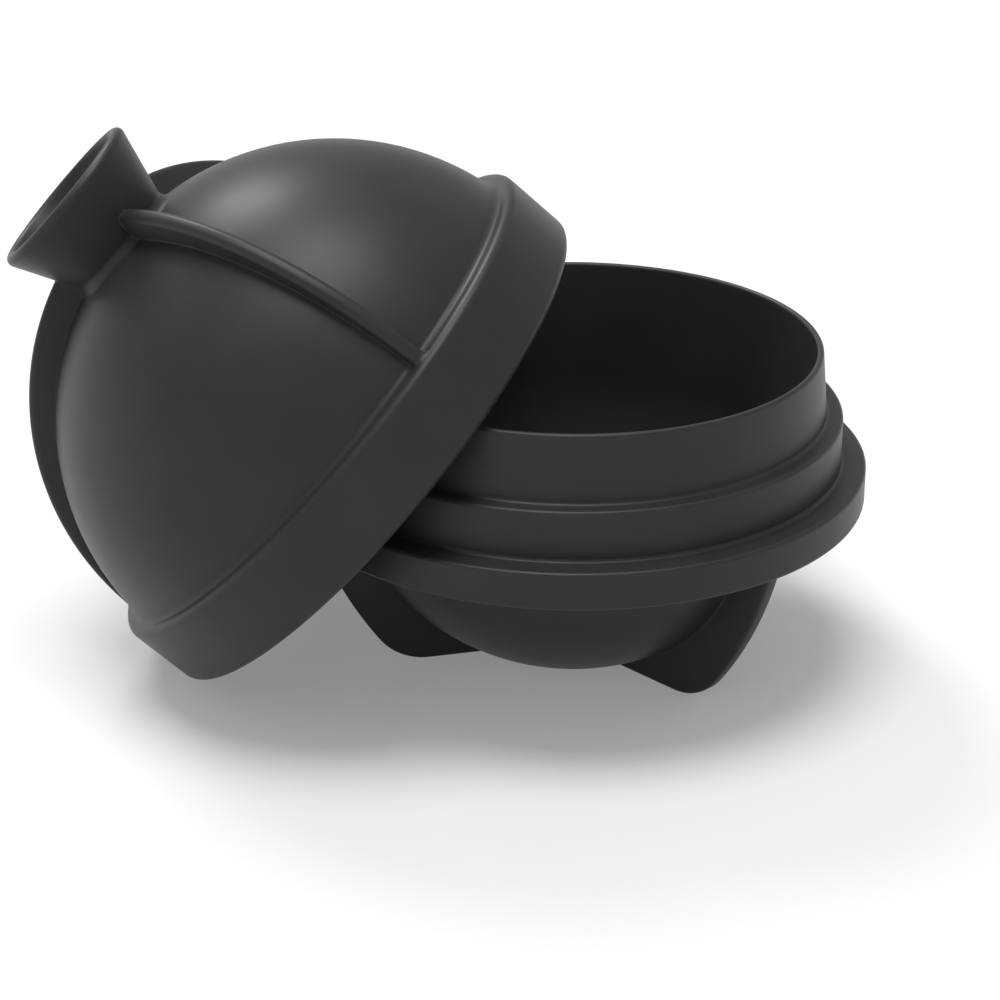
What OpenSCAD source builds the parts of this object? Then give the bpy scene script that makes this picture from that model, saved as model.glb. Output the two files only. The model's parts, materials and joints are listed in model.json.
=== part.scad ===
// Ice ball mold in two black silicone halves: a footed base and a funnel lid that leans on its rim.
// Millimetres, +Z up. The origin is on the floor, on the axis of the base. The lid leans towards -X.

/* [Bowl] */
// Inner radius of the bowl, half the width of the ice ball
ball_r = 28.9; // [24:0.1:40]
// Wall of the bowl
bowl_wall = 2; // [1.6:0.1:3]
// Height of the flat under the bowl above the floor
bowl_lift = 0.3; // [0.2:0.1:4]
// Depth that the flat takes off the round of the bowl's outside
bowl_flat = 0.95; // [0.4:0.05:1]
// Widening of the inside from the bowl up to the rim
mouth_flare = 1.7; // [0.6:0.1:2.5]

/* [Rim] */
// Thickness of the lip at the rim
lip_wall = 0.9; // [0.7:0.1:1.6]
// Height of the lip above the band
lip_h = 8.5; // [5:0.1:12]
// How much wider the lip is at its foot than at the rim
lip_draft = 0.7; // [0:0.1:1.2]
// Step from the rim out to the band
band_step = 2.8; // [2:0.1:4]
// Height of the band above the flange
band_h = 6.4; // [4:0.1:10]
// Step from the band out to the flange
flange_step = 3.2; // [2.4:0.1:5]
// Thickness of the flange
flange_t = 4.8; // [3:0.1:8]
// Depth of the flange's top below the centre of the bowl
flange_drop = 3; // [0:0.1:6]

/* [Feet] */
// Number of feet
foot_count = 3; // [3:1:6]
// Turn of the first foot about the base's axis, in degrees
foot_turn = -46; // [-180:1:180]
// Thickness of a foot's plate
foot_t = 2; // [1.4:0.1:4]
// Distance from the flange's edge in to the top of a foot's outer edge
foot_inset = 2.7; // [1.5:0.1:6]
// Radius of a foot's long outer edge
foot_edge_r = 54.4; // [45:0.2:90]
// Radius of the round toe
toe_r = 8; // [4:0.1:10]
// Radius at which the flat under a foot ends and the toe begins
pad_r = 19.4; // [14:0.1:22]
// Length of the flat under a foot
pad_l = 11; // [6:0.1:12]

/* [Lid] */
// Width of the ledge between the collar's outside and the dome
ledge_w = 2; // [1.4:0.1:2.4]
// Height of the ledge above the dome's centre
ledge_rise = 4.1; // [2:0.1:8]
// Wall of the dome
dome_wall = 2.5; // [2:0.1:3]

/* [Funnel] */
// Outer radius of the funnel at the dome
neck_r = 7.4; // [6:0.1:10]
// Outer radius of the funnel's mouth
mouth_r = 11.1; // [9:0.1:16]
// Height of the funnel's mouth above the neck
funnel_h = 9.8; // [6:0.1:16]
// Wall of the funnel
funnel_wall = 1.7; // [1.2:0.1:2.2]
// Radius of the pouring hole through the dome
pour_r = 4.5; // [3:0.1:5]
// Radius of the fillet between the funnel and the dome
neck_fillet = 1.2; // [0.6:0.1:2.5]

/* [Fins] */
// Number of fins
fin_count = 3; // [2:1:6]
// Turn of the first fin about the lid's axis from its lowest side, in degrees
fin_turn = 7; // [0:1:180]
// Thickness of a fin
fin_t = 2; // [1.2:0.1:4]
// Height that the fins' edges would reach above the dome at its pole
fin_rise = 4; // [2:0.1:7]
// Distance from the collar's outside in to a fin's edge at the ledge
fin_inset = 0.9; // [0.3:0.1:1.1]

/* [Lean] */
// Tilt of the leaning lid from upright, in degrees
lid_tilt = 47.9; // [47:0.1:53]
// Direction in which the lid leans away from the base, in degrees from +X
lid_turn = 180.5; // [0:0.1:360]

/* [Fit] */
// Clearance of the closed lid round the band and the lip
fit_gap = 0.3; // [0.1:0.05:0.6]
// Clearance of the leaning lid from the rim and from the floor
lean_gap = 0.25; // [0.1:0.05:0.5]

/* [Rounding] */
// Radius of the flange's and the band's outer edges
edge_round = 0.5; // [0.2:0.1:1]
// Radius of the fillets at the foot of the lip and of the band
step_fillet = 0.5; // [0.2:0.1:0.8]
// Radius of the fillet between the dome and the ledge
ledge_fillet = 0.9; // [0.2:0.1:1]
// Radius of the collar's outer edges
collar_round = 1.1; // [0.3:0.1:1.2]
// Radius of the collar's inner edge, which leads the base in
lead_round = 0.6; // [0.2:0.1:1.2]

/* [Hidden] */
$fn = 128;
silicone = "#303031";
overlap = 0.6;
far = 200;
// Base, outwards from the ball and upwards from the floor
bowl_r = ball_r + bowl_wall;
bowl_z = bowl_lift + bowl_r - bowl_flat;
lip_r = ball_r + mouth_flare + lip_wall;
band_r = lip_r + band_step;
flange_r = band_r + flange_step;
flange_z = bowl_z - flange_drop;
band_z = flange_z + band_h;
rim_z = band_z + lip_h;
rim_round = lip_wall / 2;
rim_c = rim_z - rim_round;
lip_lean = atan2(lip_draft, rim_c - band_z);
// Inside of the base: a straight wall from the rim, tangent to the bowl
mouth_in_r = lip_r - lip_wall;
mouth_above = rim_c - bowl_z;
wall_turn = atan2(mouth_above, mouth_in_r) - acos(ball_r / norm([mouth_in_r, mouth_above]));
wall_foot = [ball_r * cos(wall_turn), bowl_z + ball_r * sin(wall_turn)];
// A foot's long edge: an arc from the flange's underside that runs into the toe
foot_top = [flange_r - foot_inset, flange_z - flange_t];
toe = [pad_r, toe_r];
toe_reach = norm(toe - foot_top);
toe_along = (toe - foot_top) / toe_reach;
edge_near = (pow(foot_edge_r, 2) - pow(foot_edge_r - toe_r, 2) + pow(toe_reach, 2)) / (2 * toe_reach);
edge_off = sqrt(pow(foot_edge_r, 2) - pow(edge_near, 2));
foot_edge = foot_top + edge_near * toe_along + edge_off * [toe_along[1], -toe_along[0]];
toe_out = (toe - foot_edge) / norm(toe - foot_edge);
// Lid, upwards from the collar's bottom edge along its own axis; closed, that edge sits on the flange
collar_r = flange_r;
socket_r = band_r + fit_gap;
socket_h = band_h + fit_gap;
dome_r = collar_r - ledge_w;
dome_in_r = dome_r - dome_wall;
dome_z = band_h + lip_h - sqrt(pow(dome_in_r, 2) - pow(lip_r + fit_gap, 2));
collar_h = dome_z + ledge_rise;
dome_c = [0, dome_z];
// The fillet between the dome and the ledge leaves room for the collar's rounding
ledge_curve = min(ledge_fillet, ledge_w - collar_round);
ledge_c = [sqrt(pow(dome_r + ledge_curve, 2) - pow(ledge_rise + ledge_curve, 2)), collar_h + ledge_curve];
// Funnel: its outside line starts at the neck, on the dome
neck = [neck_r, dome_z + sqrt(pow(dome_r, 2) - pow(neck_r, 2))];
funnel_flare = atan2(mouth_r - neck_r, funnel_h);
funnel_l = norm([mouth_r - neck_r, funnel_h]);
funnel_up = [sin(funnel_flare), cos(funnel_flare)];
funnel_out = [cos(funnel_flare), -sin(funnel_flare)];
fillet_from = neck + neck_fillet * funnel_out - dome_c;
fillet_along = fillet_from * funnel_up;
fillet_reach = dome_r + neck_fillet;
fillet_l = sqrt(pow(fillet_along, 2) - fillet_from * fillet_from + pow(fillet_reach, 2)) - fillet_along;
fillet_c = dome_c + fillet_from + fillet_l * funnel_up;
// Fins: an arc about the lid's axis from over the pole to the ledge
fin_top = dome_z + dome_r + fin_rise;
fin_end_r = collar_r - fin_inset;
fin_z = (pow(fin_top, 2) - pow(fin_end_r, 2) - pow(collar_h, 2)) / (2 * (fin_top - collar_h));
fin_r = fin_top - fin_z;
// Lean: the collar's lower edge stands on the floor and its inner edge rests on the rim.
// The rim crosses the collar's plane at about 45 degrees, so a gap takes up root two of its width there.
lid_z = lean_gap + (collar_r - collar_round) * sin(lid_tilt) + collar_round * (1 - cos(lid_tilt));
rim_rise = (rim_c - lid_z - lead_round * cos(lid_tilt)) / sin(lid_tilt);
rim_reach = socket_r + lead_round - sqrt(2) * (rim_round + lead_round + lean_gap);
half_chord_2 = pow(rim_reach, 2) - pow(rim_rise, 2);
chord_x = sqrt(pow(lip_r - rim_round, 2) - half_chord_2);
lid_x = chord_x + rim_rise * cos(lid_tilt) - lead_round * sin(lid_tilt);

// A ring's section from the axis to radius r, with both outer edges rounded
module round_step(r, z0, z1, e) {
    translate([0, z0])
        square([r - e, z1 - z0]);
    translate([0, z0 + e])
        square([r, z1 - z0 - 2 * e]);
    for (z = [z0 + e, z1 - e])
        translate([r - e, z])
            circle(e);
}

// A fillet of radius f about c, which touches one surface in direction a and the other in direction b
module fillet(c, f, a, b) {
    deep = f + overlap;
    translate(c)
        difference() {
            polygon([[0, 0], deep * a, deep * (a + b) / (1 + a * b), deep * b]);
            circle(f);
        }
}

// A fillet at [r, z] between a step's flat top and a wall that rises from it and leans in
module step_corner(r, z, lean) {
    reach = step_fillet * tan(45 - lean / 2);
    fillet([r + reach, z + step_fillet], step_fillet, -[cos(lean), sin(lean)], [0, -1]);
}

// The bowl's outside, from the axis out, between its flat and the flange
module bowl_outside() {
    intersection() {
        translate([0, bowl_z])
            circle(bowl_r);
        translate([0, bowl_lift])
            square([bowl_r, flange_z - overlap - bowl_lift]);
    }
}

// The lip, from the axis out, with its round rim
module lip_outside() {
    polygon([
        [0, band_z - overlap],
        [lip_r + lip_draft, band_z - overlap],
        [lip_r + lip_draft, band_z],
        [lip_r, rim_c],
        [0, rim_c]
    ]);
    translate([lip_r - rim_round, rim_c])
        circle(rim_round);
}

// The room inside the base: the bowl and the straight wall above it
module base_inside() {
    translate([0, bowl_z])
        circle(ball_r);
    polygon([
        [0, bowl_z],
        wall_foot,
        [mouth_in_r, rim_c],
        [mouth_in_r, rim_z + overlap],
        [0, rim_z + overlap]
    ]);
}

// Half of the base's section through its axis, without the feet
module base_section() {
    intersection() {
        difference() {
            union() {
                bowl_outside();
                round_step(flange_r, flange_z - flange_t, flange_z, edge_round);
                round_step(band_r, flange_z - 2 * edge_round, band_z, edge_round);
                step_corner(band_r, flange_z, 0);
                step_corner(lip_r + lip_draft, band_z, lip_lean);
                lip_outside();
            }
            base_inside();
        }
        square([far, far]);
    }
}

// The corner that the round toe takes off a foot
module toe_corner() {
    difference() {
        polygon([
            toe,
            toe + [0, -far],
            toe + [far, -far],
            toe + far * toe_out
        ]);
        translate(toe)
            circle(toe_r);
    }
}

// Outline of a foot's plate in the plane of the base's axis
module foot_outline() {
    difference() {
        intersection() {
            translate(foot_edge)
                circle(foot_edge_r);
            square([far, flange_z - flange_t + overlap]);
        }
        toe_corner();
        polygon([
            [0, 0],
            [pad_r - pad_l, 0],
            [0, bowl_z]
        ]);
        translate([0, bowl_z])
            circle(bowl_r - bowl_wall / 2);
    }
}

// The room inside the lid: the socket for the band and the dome
module lid_inside() {
    translate([0, -overlap])
        square([socket_r, socket_h + overlap]);
    translate(dome_c)
        circle(dome_in_r);
    difference() {
        translate([0, -overlap])
            square([socket_r + lead_round, lead_round + overlap]);
        translate([socket_r + lead_round, lead_round])
            circle(lead_round);
    }
}

// The funnel's wall, on its own outside line, with its round rim
module funnel_wall_section() {
    translate(neck)
        rotate(-funnel_flare) {
            translate([-funnel_wall, -funnel_wall])
                square([funnel_wall, funnel_l + funnel_wall / 2]);
            translate([-funnel_wall / 2, funnel_l - funnel_wall / 2])
                circle(funnel_wall / 2);
        }
}

// Half of the lid's section through its axis, without the fins
module lid_section() {
    intersection() {
        union() {
            difference() {
                union() {
                    round_step(collar_r, 0, collar_h, collar_round);
                    translate(dome_c)
                        circle(dome_r);
                    fillet(ledge_c, ledge_curve, (dome_c - ledge_c) / norm(dome_c - ledge_c), [0, -1]);
                }
                lid_inside();
                square([pour_r, far]);
            }
            funnel_wall_section();
            fillet(fillet_c, neck_fillet, -funnel_out, (dome_c - fillet_c) / fillet_reach);
        }
        square([far, far]);
    }
}

// Outline of a fin in the plane of the lid's axis
module fin_outline() {
    difference() {
        intersection() {
            translate([0, fin_z])
                circle(fin_r);
            translate([0, collar_h - overlap])
                square([far, far]);
        }
        translate(dome_c)
            circle(dome_r - overlap);
        translate(neck)
            rotate(-funnel_flare)
                translate([-far - funnel_wall / 2, -far])
                    square([far, 2 * far]);
    }
}

// A plate that stands on the XZ plane, with the outline of its children
module plate(t) {
    rotate([90, 0, 0])
        linear_extrude(t, center = true)
            children();
}

module footed_base() {
    color(silicone)
        union() {
            rotate_extrude()
                base_section();
            for (i = [0 : foot_count - 1])
                rotate([0, 0, foot_turn + i * 360 / foot_count])
                    plate(foot_t)
                        foot_outline();
        }
}

module funnel_lid() {
    color(silicone)
        rotate([0, 0, lid_turn])
            translate([lid_x, 0, lid_z])
                rotate([0, lid_tilt, 0])
                    union() {
                        rotate_extrude()
                            lid_section();
                        for (i = [0 : fin_count - 1])
                            rotate([0, 0, fin_turn + i * 360 / fin_count])
                                plate(fin_t)
                                    fin_outline();
                    }
}

footed_base();
funnel_lid();
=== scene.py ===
# %% [markdown]
# # An ice ball mold in black silicone
#
# The object is a mold for one round ice ball, in two soft mouldings: a bowl on three feet, and a lid
# with a funnel and three fins, which leans on the bowl's rim. The packed model comes first and stays
# the frame: every new piece is made in metres, in the place that the model already gives it.

# %% Load the frame
import json
import math

import bmesh
import bpy
import numpy as np
from mathutils import Matrix, Vector


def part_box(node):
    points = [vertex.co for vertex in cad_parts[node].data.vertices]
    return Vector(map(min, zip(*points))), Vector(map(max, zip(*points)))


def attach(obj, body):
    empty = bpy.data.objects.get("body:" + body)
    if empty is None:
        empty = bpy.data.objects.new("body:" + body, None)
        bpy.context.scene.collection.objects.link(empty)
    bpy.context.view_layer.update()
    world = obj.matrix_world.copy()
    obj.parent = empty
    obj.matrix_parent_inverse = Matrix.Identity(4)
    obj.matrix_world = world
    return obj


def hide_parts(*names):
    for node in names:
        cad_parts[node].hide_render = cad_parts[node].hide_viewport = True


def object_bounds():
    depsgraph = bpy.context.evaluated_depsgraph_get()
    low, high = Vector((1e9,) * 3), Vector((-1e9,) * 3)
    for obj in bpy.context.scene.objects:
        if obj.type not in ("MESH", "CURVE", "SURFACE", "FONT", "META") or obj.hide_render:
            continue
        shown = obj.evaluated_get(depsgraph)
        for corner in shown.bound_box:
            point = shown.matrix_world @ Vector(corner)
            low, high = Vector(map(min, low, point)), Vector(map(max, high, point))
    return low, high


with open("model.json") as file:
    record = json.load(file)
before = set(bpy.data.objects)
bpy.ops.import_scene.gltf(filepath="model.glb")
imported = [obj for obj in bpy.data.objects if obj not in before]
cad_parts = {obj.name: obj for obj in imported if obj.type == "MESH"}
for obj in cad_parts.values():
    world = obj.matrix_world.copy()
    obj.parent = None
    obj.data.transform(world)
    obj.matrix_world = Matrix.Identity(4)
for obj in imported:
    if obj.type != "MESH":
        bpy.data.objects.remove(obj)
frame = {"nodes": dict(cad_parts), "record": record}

cad_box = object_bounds()
scene = bpy.context.scene
print("nodes", sorted(frame["nodes"]), "box", [[round(c, 5) for c in corner] for corner in cad_box])

# %% [markdown]
# ## The camera
#
# The view is from slightly above, straight along Y, with a long lens. Its place was worked out from
# the ellipses of the rim, the band and the flange, so it is written down as plain distances here.

# %% Set the camera
MM = 0.001
CAMERA_PLACE = Vector((-9.35, -308.1, 156.2)) * MM
CAMERA_DOWN = math.radians(23.83)
CAMERA_LENS = 93.35
SENSOR_WIDTH = 36.0

camera_data = bpy.data.cameras.new("camera")
camera_data.lens = CAMERA_LENS
camera_data.sensor_width = SENSOR_WIDTH
camera = bpy.data.objects.new("camera", camera_data)
camera.location = CAMERA_PLACE
camera.rotation_euler = (math.pi / 2 - CAMERA_DOWN, 0, 0)
scene.collection.objects.link(camera)
scene.camera = camera
scene.view_settings.view_transform = "Standard"
print("camera", [round(c, 4) for c in camera.location], "lens", camera_data.lens)

# %% [markdown]
# ## Drawing a section
#
# Both mouldings are round, so most of their shape is one section turned about an axis. A section could
# be typed in as a list of points, but then its small roundings would be numbers that nobody can read.
# Here it is drawn as on paper: straight lines and arcs first, then the corners are rounded by bevelling
# their vertices.

# %% Define the section
ARC_STEP = 1.4 * MM
ROUND_SEGMENTS = 5
MERGE = 0.001 * MM


class Section:
    """A line of edges on the XZ plane, where x is the distance from the axis."""

    def __init__(self, x, z):
        self.mesh = bmesh.new()
        self.pen = self.mesh.verts.new((x, 0, z))
        self.start = self.pen

    def line(self, x, z):
        """Draws a straight line and returns the vertex at its end."""
        end = self.mesh.verts.new((x, 0, z))
        self.mesh.edges.new((self.pen, end))
        self.pen = end
        return end

    def arc(self, centre, turn, step=ARC_STEP):
        """Carries the pen round a centre, anticlockwise where the turn in radians is positive."""
        middle = Vector((centre[0], 0, centre[1]))
        length = abs(turn) * (self.pen.co - middle).length
        made = bmesh.ops.spin(
            self.mesh,
            geom=[self.pen],
            cent=middle,
            axis=(0, -1, 0),
            angle=turn,
            steps=max(3, math.ceil(length / step)),
        )
        self.pen = made["geom_last"][0]
        return self.pen

    def close(self):
        """Joins the pen to the start."""
        self.mesh.edges.new((self.pen, self.start))

    def round(self, radius, *corners):
        """Rounds corners to a radius."""
        for corner in corners:
            sides = [edge.other_vert(corner).co - corner.co for edge in corner.link_edges]
            bmesh.ops.bevel(
                self.mesh,
                geom=[corner],
                offset=radius / math.tan(sides[0].angle(sides[1]) / 2),
                offset_type="OFFSET",
                segments=ROUND_SEGMENTS,
                profile=0.5,
                affect="VERTICES",
                material=-1,
            )


print("arcs are drawn in steps of", ARC_STEP / MM, "mm")

# %% [markdown]
# ## Turning it
#
# A full spin of the section gives the round body, like clay on a wheel. The spin leaves a seam and, where
# the section reaches the axis, a pole of many vertices in one place, so doubles are merged afterwards
# and the normals are worked out again.

# %% Define the wheel
AROUND = 192


def turn_round(section):
    """Spins a section once about the Z axis into a closed body."""
    mesh = section.mesh
    bmesh.ops.spin(
        mesh,
        geom=mesh.verts[:] + mesh.edges[:],
        cent=(0, 0, 0),
        axis=(0, 0, 1),
        angle=math.tau,
        steps=AROUND,
        use_merge=True,
    )
    bmesh.ops.remove_doubles(mesh, verts=mesh.verts[:], dist=MERGE)
    bmesh.ops.recalc_face_normals(mesh, faces=mesh.faces[:])
    return mesh


def closed(mesh):
    """True where every edge has two faces."""
    return all(edge.is_manifold for edge in mesh.edges)


print("bodies are turned in", AROUND, "steps")

# %% [markdown]
# ## The bowl's sizes
#
# The base is a thin half ball with a flange, a band that the lid fits over, and a soft lip. The inside is
# a true ball up to where it meets a straight wall, which opens a little towards the rim so that the ice
# comes out. Only a few sizes are named. The radii and heights are sums of them, outwards from the ball and
# down from the rim, whose height the frame gives.

# %% Measure the bowl
BALL_R = 28.9 * MM
BOWL_WALL = 2.0 * MM
BOWL_LIFT = 0.3 * MM
LIP_WALL = 0.9 * MM
LIP_H = 8.5 * MM
LIP_DRAFT = 0.7 * MM
MOUTH_FLARE = 1.7 * MM
BAND_STEP = 2.8 * MM
BAND_H = 6.4 * MM
FLANGE_STEP = 3.2 * MM
FLANGE_T = 4.8 * MM
FLANGE_DROP = 3.0 * MM

base_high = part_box("footed_base")[1]
bowl_r = BALL_R + BOWL_WALL
lip_r = BALL_R + MOUTH_FLARE + LIP_WALL
band_r = lip_r + BAND_STEP
flange_r = band_r + FLANGE_STEP
rim_z = base_high.z
band_z = rim_z - LIP_H
flange_z = band_z - BAND_H
under_z = flange_z - FLANGE_T
bowl_z = flange_z + FLANGE_DROP
rim_round = LIP_WALL / 2
rim_centre = (lip_r - rim_round, rim_z - rim_round)
mouth_r = lip_r - LIP_WALL
mouth_rise = rim_centre[1] - bowl_z
wall_turn = math.atan2(mouth_rise, mouth_r) - math.acos(BALL_R / math.hypot(mouth_r, mouth_rise))
under_turn = math.asin((bowl_z - under_z) / bowl_r)
flat_turn = math.asin((bowl_z - BOWL_LIFT) / bowl_r)
print("flange", round(flange_r / MM, 2), "band", round(band_r / MM, 2), "lip", round(lip_r / MM, 2), "mm")

# %% [markdown]
# ## The bowl and its rim
#
# The line runs from the bottom of the inside, over the rim and down the outside to a small flat under the
# bowl. Its corners are drawn sharp and rounded last, so a rounding can change and nothing else moves.

# %% Turn the bowl
EDGE_ROUND = 0.5 * MM
BOWL_FILLET = 1.0 * MM
RIM_STEP = 0.12 * MM

bowl = Section(0, bowl_z - BALL_R)
bowl.arc((0, bowl_z), math.pi / 2 + wall_turn)
bowl.line(mouth_r, rim_centre[1])
bowl.arc(rim_centre, -math.pi, RIM_STEP)
lip_foot = bowl.line(lip_r + LIP_DRAFT, band_z)
band_edge = bowl.line(band_r, band_z)
band_foot = bowl.line(band_r, flange_z)
flange_top = bowl.line(flange_r, flange_z)
flange_bottom = bowl.line(flange_r, under_z)
flange_root = bowl.line(bowl_r * math.cos(under_turn), under_z)
flat_edge = bowl.arc((0, bowl_z), under_turn - flat_turn)
bowl.line(0, BOWL_LIFT)
bowl.round(EDGE_ROUND, lip_foot, band_edge, band_foot, flange_top, flange_bottom)
bowl.round(BOWL_FILLET, flange_root, flat_edge)
bowl_mesh = turn_round(bowl)
print("bowl", len(bowl_mesh.faces), "faces, closed", closed(bowl_mesh))

# %% [markdown]
# ## A rib's section
#
# A foot and a fin are the same kind of thing: a flat plate that stands on a ball, with a rounded edge and
# a soft fillet where it grows out of the ball. A plain extruded plate would meet the ball in a hard line.
# Instead, the plate's cross-section is drawn first, fillets included: one half of it, and then its mirror.

# %% Define the rib's section
SIDE_LINES = 7
# How far a rib's root and the ends of its fillets reach into the ball.
RIB_DEPTH = 0.8 * MM
DIVE = 0.02 * MM
SMALL_STEP = 0.16 * MM


def rib_section(ball_r, height, thickness, fillet, edge):
    """Draws a rib's cross-section, across in x and out from the ball's centre in z."""
    half = thickness / 2
    fillet_z = math.sqrt((ball_r + fillet - DIVE) ** 2 - (half + fillet) ** 2)
    reach = math.atan2(fillet_z, half + fillet)
    top = ball_r + height
    section = Section(half + fillet, ball_r - RIB_DEPTH)
    across = half + fillet - fillet * math.cos(reach)
    section.line(across, fillet_z - fillet * math.sin(reach))
    section.arc((half + fillet, fillet_z), -reach, SMALL_STEP)
    for line in range(1, SIDE_LINES + 1):
        section.line(half, fillet_z + (top - edge - fillet_z) * line / SIDE_LINES)
    section.arc((half - edge, top - edge), math.pi / 2, SMALL_STEP)
    section.line(0, top)
    mesh = section.mesh
    bmesh.ops.mirror(mesh, geom=mesh.verts[:] + mesh.edges[:], axis="X", merge_dist=MERGE)
    feet = [vertex for vertex in mesh.verts if len(vertex.link_edges) == 1]
    mesh.edges.new(feet)
    return mesh, fillet_z


print("a rib's side has", SIDE_LINES, "lines")

# %% [markdown]
# ## Ribs on a ball
#
# The section is spun about an axis through the ball's centre, so the fillets follow the ball by themselves.
# Then every vertex moves in or out along its own ray until the outer edge has the height it should have
# there, and the plate is spread a little where it runs into a wall.

# %% Define the rib
RIB_STEPS = 120
# A rib that is lower than this many times its roundings has smaller ones.
ROUND_ROOM = 1.2


def spread(gap, radius):
    """How far a fillet stands out from a plate, at a gap from the wall that the plate runs into."""
    inside = radius - min(max(gap, 0.0), radius)
    return radius - math.sqrt(radius ** 2 - inside ** 2)


def part_of(value, low, high):
    """Where a value lies between two others, from 0 to 1."""
    return min(max((value - low) / (high - low), 0.0), 1.0)


def rib(ball_r, ball_z, pole, first, last, crest, thickness, fillet, edge, walls):
    """A rib on a ball, in the XZ plane, from the first to the last angle off the ball's pole.

    The pole is 1 at the top of the ball and -1 at its bottom. The crest gives the distance from the ball's
    centre to the rib's outer edge at an angle. A wall is a distance to it and the radius of the fillet there.
    """
    height = max(crest(first + (last - first) * i / RIB_STEPS) for i in range(RIB_STEPS + 1)) - ball_r
    mesh, fillet_z = rib_section(ball_r, height, thickness, fillet, edge)
    out = Vector((math.sin(first), 0, pole * math.cos(first)))
    across = Vector((0, 1, 0))
    stand = Matrix((across, out.cross(across), out)).transposed().to_4x4()
    bmesh.ops.transform(mesh, matrix=Matrix.Translation((0, 0, ball_z)) @ stand, verts=mesh.verts[:])
    bmesh.ops.spin(
        mesh,
        geom=mesh.verts[:] + mesh.edges[:],
        cent=(0, 0, ball_z),
        axis=across,
        angle=pole * (last - first),
        steps=RIB_STEPS,
    )
    bmesh.ops.holes_fill(mesh, edges=[each for each in mesh.edges if each.is_boundary])
    drawn = [-RIB_DEPTH, 0, fillet_z - ball_r, height - edge, height]
    for vertex in mesh.verts:
        turn = math.atan2(vertex.co.x, pole * (vertex.co.z - ball_z))
        rise = math.hypot(vertex.co.x, vertex.co.z - ball_z) - ball_r
        here = crest(turn) - ball_r
        ease = min(1.0, here / (ROUND_ROOM * (fillet + edge)))
        wanted = [-RIB_DEPTH, 0, drawn[2] * ease, here - edge * ease, here]
        rise = float(np.interp(rise, drawn, wanted))
        ray = Vector((math.sin(turn), 0, pole * math.cos(turn)))
        place = Vector((0, vertex.co.y, ball_z)) + ray * (ball_r + rise)
        grow = max(spread(gap(place), radius) for gap, radius in walls)
        side = part_of(abs(place.y), thickness / 2 - edge, thickness / 2)
        place.y += math.copysign(grow * side, place.y)
        vertex.co = place + ray * grow * part_of(rise, here - edge * ease, here)
    bmesh.ops.recalc_face_normals(mesh, faces=mesh.faces[:])
    return mesh


print("a rib has", RIB_STEPS, "steps along its length")

# %% [markdown]
# ## A foot's outline
#
# Three plates carry the bowl. Each has a flat pad on the floor, a round toe, and a long, slightly curved
# outer edge up to the flange. Seen from the bowl's centre that outline is one distance for every angle,
# which is just what a rib needs: the pad's line, the toe's circle or the long edge's circle.

# %% Draw a foot's outline
FOOT_INSET = 2.7 * MM
FOOT_EDGE_R = 54.4 * MM
TOE_R = 8.0 * MM
PAD_R = 19.4 * MM

foot_top = Vector((flange_r - FOOT_INSET, under_z))
toe = Vector((PAD_R, TOE_R))
to_toe = toe - foot_top
edge_near = (FOOT_EDGE_R ** 2 - (FOOT_EDGE_R - TOE_R) ** 2 + to_toe.length_squared) / (2 * to_toe.length)
edge_off = math.sqrt(FOOT_EDGE_R ** 2 - edge_near ** 2)
along = to_toe.normalized()
foot_edge = foot_top + edge_near * along + edge_off * Vector((along.y, -along.x))
toe_end = toe + TOE_R * (toe - foot_edge).normalized()
bowl_middle = Vector((0, bowl_z))


def ray_to_circle(ray, start, centre, radius):
    """Distance along a ray from start to the far side of a circle."""
    to_centre = centre - start
    near = to_centre.dot(ray)
    return near + math.sqrt(radius ** 2 - to_centre.length_squared + near ** 2)


def foot_reach(turn):
    """Distance from the bowl's centre to a foot's outline, at an angle off straight down."""
    ray = Vector((math.sin(turn), -math.cos(turn)))
    if turn < math.atan2(PAD_R, bowl_z):
        return bowl_z / math.cos(turn)
    if turn < math.atan2(toe_end.x, bowl_z - toe_end.y):
        return ray_to_circle(ray, bowl_middle, toe, TOE_R)
    return ray_to_circle(ray, bowl_middle, foot_edge, FOOT_EDGE_R)


print("a toe ends", [round(c / MM, 2) for c in toe_end], "mm out and up")

# %% [markdown]
# ## The feet
#
# The three feet are the same rib, a third of a turn apart. Each runs a little way into the flange, and is
# spread there by the fillet that it also has along the bowl.

# %% Make the feet
FOOT_COUNT = 3
FOOT_TURN = math.radians(-46)
FOOT_T = 2.0 * MM
FOOT_FILLET = 0.25 * MM
FOOT_ROUND = 0.4 * MM
FOOT_INTO_FLANGE = math.radians(3)
PAD_L = 11.0 * MM

foot_meshes = []
for number in range(FOOT_COUNT):
    foot = rib(
        ball_r=bowl_r,
        ball_z=bowl_z,
        pole=-1,
        first=math.atan2(PAD_R - PAD_L, bowl_z),
        last=math.atan2(foot_top.x, bowl_z - foot_top.y) + FOOT_INTO_FLANGE,
        crest=foot_reach,
        thickness=FOOT_T,
        fillet=FOOT_FILLET,
        edge=FOOT_ROUND,
        walls=[(lambda place: under_z - place.z, FOOT_FILLET)],
    )
    turn = FOOT_TURN + number * math.tau / FOOT_COUNT
    bmesh.ops.rotate(foot, cent=(0, 0, 0), matrix=Matrix.Rotation(turn, 3, "Z"), verts=foot.verts[:])
    foot_meshes.append(foot)
print("feet", [len(foot.faces) for foot in foot_meshes], "closed", [closed(foot) for foot in foot_meshes])

# %% [markdown]
# ## One moulding
#
# The real base is one piece of silicone, with no seam between a foot and the bowl. The ribs reach a little
# into the wall, so a Boolean union joins them, and the result is kept as a plain mesh. Weighted normals
# keep the flats flat next to their small roundings.

# %% Join the base
FLAT_WEIGHT = 80


def as_object(mesh, name):
    """Makes a scene object from a bmesh."""
    data = bpy.data.meshes.new(name)
    mesh.to_mesh(data)
    mesh.free()
    made = bpy.data.objects.new(name, data)
    scene.collection.objects.link(made)
    return made


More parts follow.
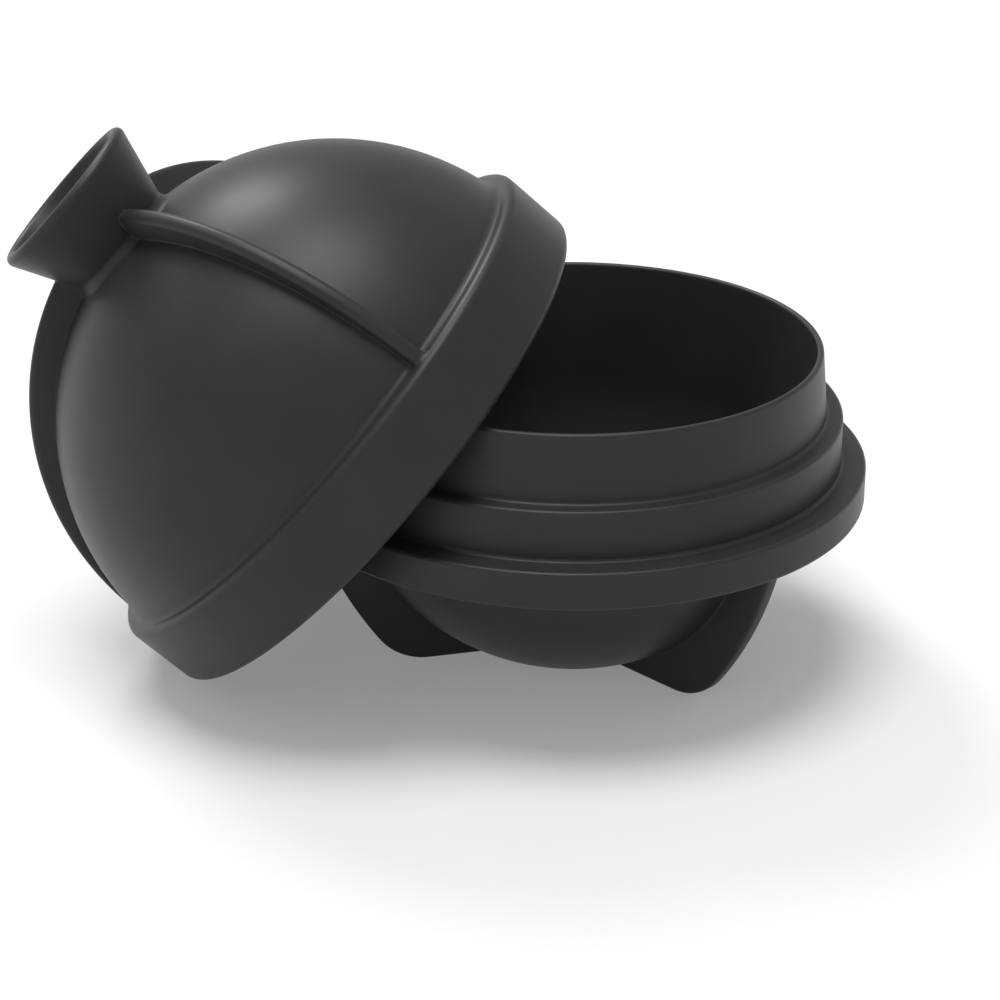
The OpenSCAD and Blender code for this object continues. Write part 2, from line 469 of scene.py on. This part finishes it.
def one_moulding(name, body, ribs):
    """Joins a turned body and its ribs into one mesh object with smooth faces."""
    piece = as_object(body, name)
    added = [as_object(each, f"{name}_rib_{number}") for number, each in enumerate(ribs)]
    for each in added:
        join = piece.modifiers.new("join", "BOOLEAN")
        join.operation = "UNION"
        join.solver = "MANIFOLD"
        join.object = each
    shaped = piece.evaluated_get(bpy.context.evaluated_depsgraph_get())
    joined = bpy.data.meshes.new_from_object(shaped)
    piece.modifiers.clear()
    piece.data = joined
    for each in added:
        bpy.data.objects.remove(each)
    joined.shade_smooth()
    normals = piece.modifiers.new("normals", "WEIGHTED_NORMAL")
    normals.weight = FLAT_WEIGHT
    return piece


base = one_moulding("base_moulding", bowl_mesh, foot_meshes)
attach(base, "base")
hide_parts("footed_base")
print("base", len(base.data.polygons), "faces")

# %% [markdown]
# ## The lid's sizes
#
# The lid's socket goes over the base's band with a small gap, and its dome clears the lip, so most of its
# sizes follow from the base's. The frame gives the pouring hole. The lid is drawn upright, on its own axis,
# and leaned over at the end.

# %% Measure the lid
FIT_GAP = 0.3 * MM
LEDGE_W = 2.0 * MM
LEDGE_RISE = 4.1 * MM
DOME_WALL = 2.5 * MM
NECK_R = 7.4 * MM
FUNNEL_R = 11.1 * MM
FUNNEL_H = 9.8 * MM
FUNNEL_WALL = 1.7 * MM

pour_hole = next(mount for mount in frame["record"]["mounts"] if mount["name"] == "pour_hole")
pour_r = pour_hole["dims"]["r_mm"] * MM
collar_r = flange_r
socket_r = band_r + FIT_GAP
socket_h = BAND_H + FIT_GAP
dome_r = collar_r - LEDGE_W
dome_in_r = dome_r - DOME_WALL
dome_z = BAND_H + LIP_H - math.sqrt(dome_in_r ** 2 - (lip_r + FIT_GAP) ** 2)
collar_h = dome_z + LEDGE_RISE
neck = Vector((NECK_R, dome_z + math.sqrt(dome_r ** 2 - NECK_R ** 2)))
funnel_line = Vector((FUNNEL_R - NECK_R, FUNNEL_H))
funnel_up = funnel_line.normalized()
funnel_out = Vector((funnel_up.y, -funnel_up.x))
funnel_round = FUNNEL_WALL / 2
funnel_rim = neck + funnel_line - funnel_up * funnel_round - funnel_out * funnel_round
inner_line = neck - funnel_out * FUNNEL_WALL - funnel_up * DOME_WALL
dome_middle = Vector((0, dome_z))
funnel_floor = inner_line + funnel_up * ray_to_circle(funnel_up, inner_line, dome_middle, dome_r)
funnel_inside = funnel_rim - funnel_out * funnel_round


def dome_angle(x, z):
    """Angle of a point of the lid's section about the dome's centre, up from level."""
    return math.atan2(z - dome_z, x)


def dome_height(x, radius):
    """Height of a ball about the dome's centre at a distance from the axis."""
    return dome_z + math.sqrt(radius ** 2 - x ** 2)


roof_r = math.sqrt(dome_in_r ** 2 - (socket_h - dome_z) ** 2)
ledge_r = math.sqrt(dome_r ** 2 - LEDGE_RISE ** 2)
roof_turn = dome_angle(pour_r, dome_height(pour_r, dome_in_r)) - dome_angle(roof_r, socket_h)
dome_turn = dome_angle(ledge_r, collar_h) - dome_angle(*neck)
print("dome", round(dome_r / MM, 2), "collar", round(collar_r / MM, 2), "mm out")

# %% [markdown]
# ## The lid
#
# The lid's line is a closed ring, because the pouring hole goes right through: up inside the socket and the
# dome, through the hole, up the inside of the funnel, over its round rim and down the outside to the
# collar.

# %% Turn the lid
NECK_FILLET = 1.2 * MM
LEDGE_FILLET = 0.9 * MM
COLLAR_ROUND = 1.1 * MM
INNER_ROUND = 0.4 * MM
LEAD_ROUND = 0.6 * MM
DOME_STEP = 1.8 * MM

shell = Section(socket_r + LEAD_ROUND, 0)
shell.arc((socket_r + LEAD_ROUND, LEAD_ROUND), -math.pi / 2, RIM_STEP)
socket_corner = shell.line(socket_r, socket_h)
socket_edge = shell.line(roof_r, socket_h)
hole_low = shell.arc(dome_middle, roof_turn, DOME_STEP)
hole_high = shell.line(pour_r, dome_height(pour_r, dome_r))
floor_corner = shell.line(*funnel_floor)
shell.line(*funnel_inside)
shell.arc(funnel_rim, -math.pi, RIM_STEP)
neck_corner = shell.line(*neck)
ledge_corner = shell.arc(dome_middle, dome_turn, DOME_STEP)
collar_top = shell.line(collar_r, collar_h)
collar_bottom = shell.line(collar_r, 0)
shell.close()
shell.round(COLLAR_ROUND, collar_top, collar_bottom)
shell.round(LEDGE_FILLET, ledge_corner)
shell.round(INNER_ROUND, socket_corner, socket_edge, hole_low, hole_high, floor_corner)
shell.round(NECK_FILLET, neck_corner)
shell_mesh = turn_round(shell)
print("lid", len(shell_mesh.faces), "faces, closed", closed(shell_mesh))

# %% [markdown]
# ## The fins
#
# Three fins run up the dome from the ledge to the funnel and let fingers pull the lid off. Their edges
# follow one circle, which leaves the dome slowly, so a fin is hardly there at the ledge and tallest at the
# funnel. They are ribs on the dome, spread a little where they run into the funnel and the ledge.

# %% Make the fins
FIN_COUNT = 3
FIN_TURN = math.radians(7)
FIN_T = 2.0 * MM
FIN_RISE = 4.0 * MM
FIN_INSET = 0.9 * MM
FIN_FILLET = 0.15 * MM
FIN_ROUND = 0.85 * MM
FIN_INTO_LEDGE = 0.6 * MM
LEDGE_SPREAD = 0.3 * MM

fin_top = dome_z + dome_r + FIN_RISE
fin_end_r = collar_r - FIN_INSET
fin_z = (fin_top ** 2 - fin_end_r ** 2 - collar_h ** 2) / (2 * (fin_top - collar_h))
fin_middle = Vector((0, fin_z))
fin_root = neck + funnel_up * FIN_RISE / 2 - funnel_out * FUNNEL_WALL / 2


def fin_reach(turn):
    """Distance from the dome's centre to a fin's edge, at an angle off the lid's axis."""
    return ray_to_circle(Vector((math.sin(turn), math.cos(turn))), dome_middle, fin_middle, fin_top - fin_z)


def funnel_gap(place):
    """Distance from a point in a fin's plane to the funnel's outside."""
    return funnel_out.dot(Vector((place.x, place.z)) - neck)


fin_meshes = []
for number in range(FIN_COUNT):
    fin = rib(
        ball_r=dome_r,
        ball_z=dome_z,
        pole=1,
        first=math.atan2(fin_root.x, fin_root.y - dome_z),
        last=math.atan2(fin_end_r, LEDGE_RISE - FIN_INTO_LEDGE),
        crest=fin_reach,
        thickness=FIN_T,
        fillet=FIN_FILLET,
        edge=FIN_ROUND,
        walls=[(funnel_gap, FIN_FILLET), (lambda place: place.z - collar_h, LEDGE_SPREAD)],
    )
    turn = FIN_TURN + number * math.tau / FIN_COUNT
    bmesh.ops.rotate(fin, cent=(0, 0, 0), matrix=Matrix.Rotation(turn, 3, "Z"), verts=fin.verts[:])
    fin_meshes.append(fin)
print("fins", [len(fin.faces) for fin in fin_meshes], "closed", [closed(fin) for fin in fin_meshes])

# %% [markdown]
# ## Leaning the lid
#
# The frame says where the lid is: its pouring hole is a stated bore, with a place and an axis. The lid's
# lowest side is the downhill direction across that axis. These make one matrix, which is applied to
# the meshes themselves, so the finished object still sits at the origin.

# %% Lean and join the lid
lid_axis = Vector(pour_hole["axis"]).normalized()
downhill = (lid_axis * lid_axis.z - Vector((0, 0, 1))).normalized()
hole_middle = (dome_height(pour_r, dome_in_r) + dome_height(pour_r, dome_r)) / 2
collar_middle = Vector(pour_hole["pos_m"]) - lid_axis * hole_middle
lean = Matrix((downhill, lid_axis.cross(downhill), lid_axis)).transposed().to_4x4()
lean.translation = collar_middle
for mesh in [shell_mesh, *fin_meshes]:
    bmesh.ops.transform(mesh, matrix=lean, verts=mesh.verts[:])
lid = one_moulding("lid_moulding", shell_mesh, fin_meshes)
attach(lid, "lid")
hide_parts("funnel_lid")
print("lid", len(lid.data.polygons), "faces, tilted", round(math.degrees(lid_axis.angle((0, 0, 1))), 1))

# %% [markdown]
# ## Shader sums
#
# A material is a graph of nodes. Long sums of Math nodes are hard to read, so one small class wraps a
# socket and lets Python's own plus and times add them.

# %% Define the finish
class Wire:
    """A socket of a finish, which can be used in sums."""

    def __init__(self, finish, socket):
        self.finish = finish
        self.socket = socket

    def sum(self, operation, first, second):
        return self.finish.node("ShaderNodeMath", {"operation": operation}, {0: first, 1: second})

    def __add__(self, other):
        return self.sum("ADD", self, other)

    def __radd__(self, other):
        return self.sum("ADD", other, self)

    def __mul__(self, other):
        return self.sum("MULTIPLY", self, other)

    def __rmul__(self, other):
        return self.sum("MULTIPLY", other, self)


class Finish:
    """A node tree, filled one node at a time."""

    def __init__(self, owner):
        owner.use_nodes = True
        self.tree = owner.node_tree

    def feed(self, node, values):
        """Sets or links a node's sockets."""
        for name, value in values.items():
            if isinstance(value, Wire):
                self.tree.links.new(value.socket, node.inputs[name])
            else:
                node.inputs[name].default_value = value

    def node(self, kind, settings, values, output=0):
        """Makes a node, sets it up, feeds it and returns one of its outputs."""
        made = self.tree.nodes.new(kind)
        for name, value in settings.items():
            setattr(made, name, value)
        self.feed(made, values)
        return Wire(self, made.outputs[output])


print("sums that a wire knows", [name for name in vars(Wire) if name.startswith("__r")])

# %% [markdown]
# ## Black silicone
#
# Moulded silicone is matte and very dark, with a soft sheen. It is never quite even: the surface has a
# fine grain from the tool, a slow waviness, and a faint bloom that makes it cloudy. A flat black would
# look like a cut-out, so noise at three scales varies the colour, the roughness and the bump.

# %% Make the silicone
CLOUD_SIZE = 9.0 * MM
WAVE_SIZE = 3.5 * MM
GRAIN_SIZE = 0.3 * MM
WAVE_HEIGHT = 0.006 * MM
GRAIN_HEIGHT = 0.002 * MM
DEEP_BLACK = (0.02, 0.02, 0.0206, 1)
BLOOM_BLACK = (0.031, 0.031, 0.0318, 1)
SILICONE_IOR = 1.41
GLOSS_LEVEL = 0.33
ROUGHNESS = 0.36
CLOUD_ROUGHNESS = 0.08
GRAIN_ROUGHNESS = 0.04

silicone = bpy.data.materials.new("black_silicone")
finish = Finish(silicone)
place = finish.node("ShaderNodeTexCoord", {}, {}, "Object")


def noise(size, detail):
    """Noise with patches of about this size."""
    return finish.node("ShaderNodeTexNoise", {}, {"Vector": place, "Scale": 1 / size, "Detail": detail})


cloud = noise(CLOUD_SIZE, detail=3.0)
wave = noise(WAVE_SIZE, detail=1.0)
grain = noise(GRAIN_SIZE, detail=2.0)
# The mix node's sockets for colours are inputs 6 and 7 and output 2.
colour = finish.node(
    "ShaderNodeMix",
    {"data_type": "RGBA"},
    {0: cloud, 6: DEEP_BLACK, 7: BLOOM_BLACK},
    output=2,
)
bump = finish.node(
    "ShaderNodeBump",
    {},
    {"Height": wave * WAVE_HEIGHT + grain * GRAIN_HEIGHT, "Distance": 1.0, "Strength": 1.0},
)
finish.feed(
    finish.tree.nodes["Principled BSDF"],
    {
        "Base Color": colour,
        "Roughness": ROUGHNESS + CLOUD_ROUGHNESS * cloud + GRAIN_ROUGHNESS * grain,
        "Normal": bump,
        "IOR": SILICONE_IOR,
        "Specular IOR Level": GLOSS_LEVEL,
    },
)
for piece in (base, lid):
    piece.data.materials.clear()
    piece.data.materials.append(silicone)
print("silicone", len(finish.tree.nodes), "nodes")

# %% [markdown]
# ## The floor
#
# The mold stands on a wide, plain floor that looks white. The whitest paint would throw too much light back
# at the black sides, so this floor is a pale grey, and glows faintly to the rays that show it.

# %% Lay the floor
FLOOR_SIZE = 2.0
FLOOR_PALE = (0.58, 0.58, 0.58, 1)
FLOOR_ROUGHNESS = 0.7
FLOOR_GLOW = 0.22

floor_mesh = bmesh.new()
bmesh.ops.create_grid(floor_mesh, x_segments=1, y_segments=1, size=FLOOR_SIZE / 2)
floor = as_object(floor_mesh, "floor")


def shown(finish):
    """One for a ray that shows a surface, straight, mirrored or refracted, and none for one that lights."""
    kinds = ("Is Camera Ray", "Is Glossy Ray", "Is Transmission Ray")
    straight, mirrored, through = [finish.node("ShaderNodeLightPath", {}, {}, kind) for kind in kinds]
    return straight + mirrored + through


floor_white = bpy.data.materials.new("white_floor")
floor_finish = Finish(floor_white)
floor_finish.feed(
    floor_finish.tree.nodes["Principled BSDF"],
    {
        "Base Color": FLOOR_PALE,
        "Roughness": FLOOR_ROUGHNESS,
        "Specular IOR Level": 0.0,
        "Emission Color": shown(floor_finish),
        "Emission Strength": FLOOR_GLOW,
    },
)
floor.data.materials.append(floor_white)
print("floor", FLOOR_SIZE, "m wide")

# %% [markdown]
# ## The light
#
# Soft studio light suits a matte black object. One wide lamp overhead and one behind on the left give the
# dome its two highlights and the shadow its direction, and a very wide one in front on the left opens the
# shadows a little. They are far off, so that the floor is lit evenly. The world is white low down, where
# it meets the floor, and greyer above, so that the highlights stand out.

# %% Set the world and the lamps
SKY_LIGHT = 0.45
# How high a direction points, from 0 for level to 1 for straight up.
BACKDROP_TOP = 0.05
SKY_START = 0.2
LAMP_DISTANCE = 3.0
# Azimuth and elevation in degrees, width in metres and power in watts.
LAMPS = {
    "overhead": (-50, 84, 1.7, 69),
    "front_left": (-45, 55, 3.0, 6),
    "back_left": (-146, 46, 1.0, 41),
}

world = bpy.data.worlds.new("studio")
scene.world = world
world_finish = Finish(world)
direction = world_finish.node("ShaderNodeTexCoord", {}, {}, "Generated")
height = world_finish.node("ShaderNodeSeparateXYZ", {}, {"Vector": direction}, "Z")
sky = world_finish.node(
    "ShaderNodeMapRange",
    {},
    {"Value": height, "From Min": BACKDROP_TOP, "From Max": SKY_START, "To Min": 1.0, "To Max": SKY_LIGHT},
)
world_finish.feed(world_finish.tree.nodes["Background"], {"Color": (1, 1, 1, 1), "Strength": sky})

middle = (cad_box[0] + cad_box[1]) / 2
for name, (azimuth, elevation, size, power) in LAMPS.items():
    around = math.radians(azimuth)
    up = math.radians(elevation)
    toward = Vector((math.sin(around) * math.cos(up), -math.cos(around) * math.cos(up), math.sin(up)))
    lamp_data = bpy.data.lights.new(name, "AREA")
    lamp_data.shape = "DISK"
    lamp_data.size = size
    lamp_data.energy = power
    lamp = bpy.data.objects.new(name, lamp_data)
    lamp.location = middle + toward * LAMP_DISTANCE
    lamp.rotation_euler = toward.to_track_quat("Z", "Y").to_euler()
    scene.collection.objects.link(lamp)
print("lamps", sorted(LAMPS))

# %% [markdown]
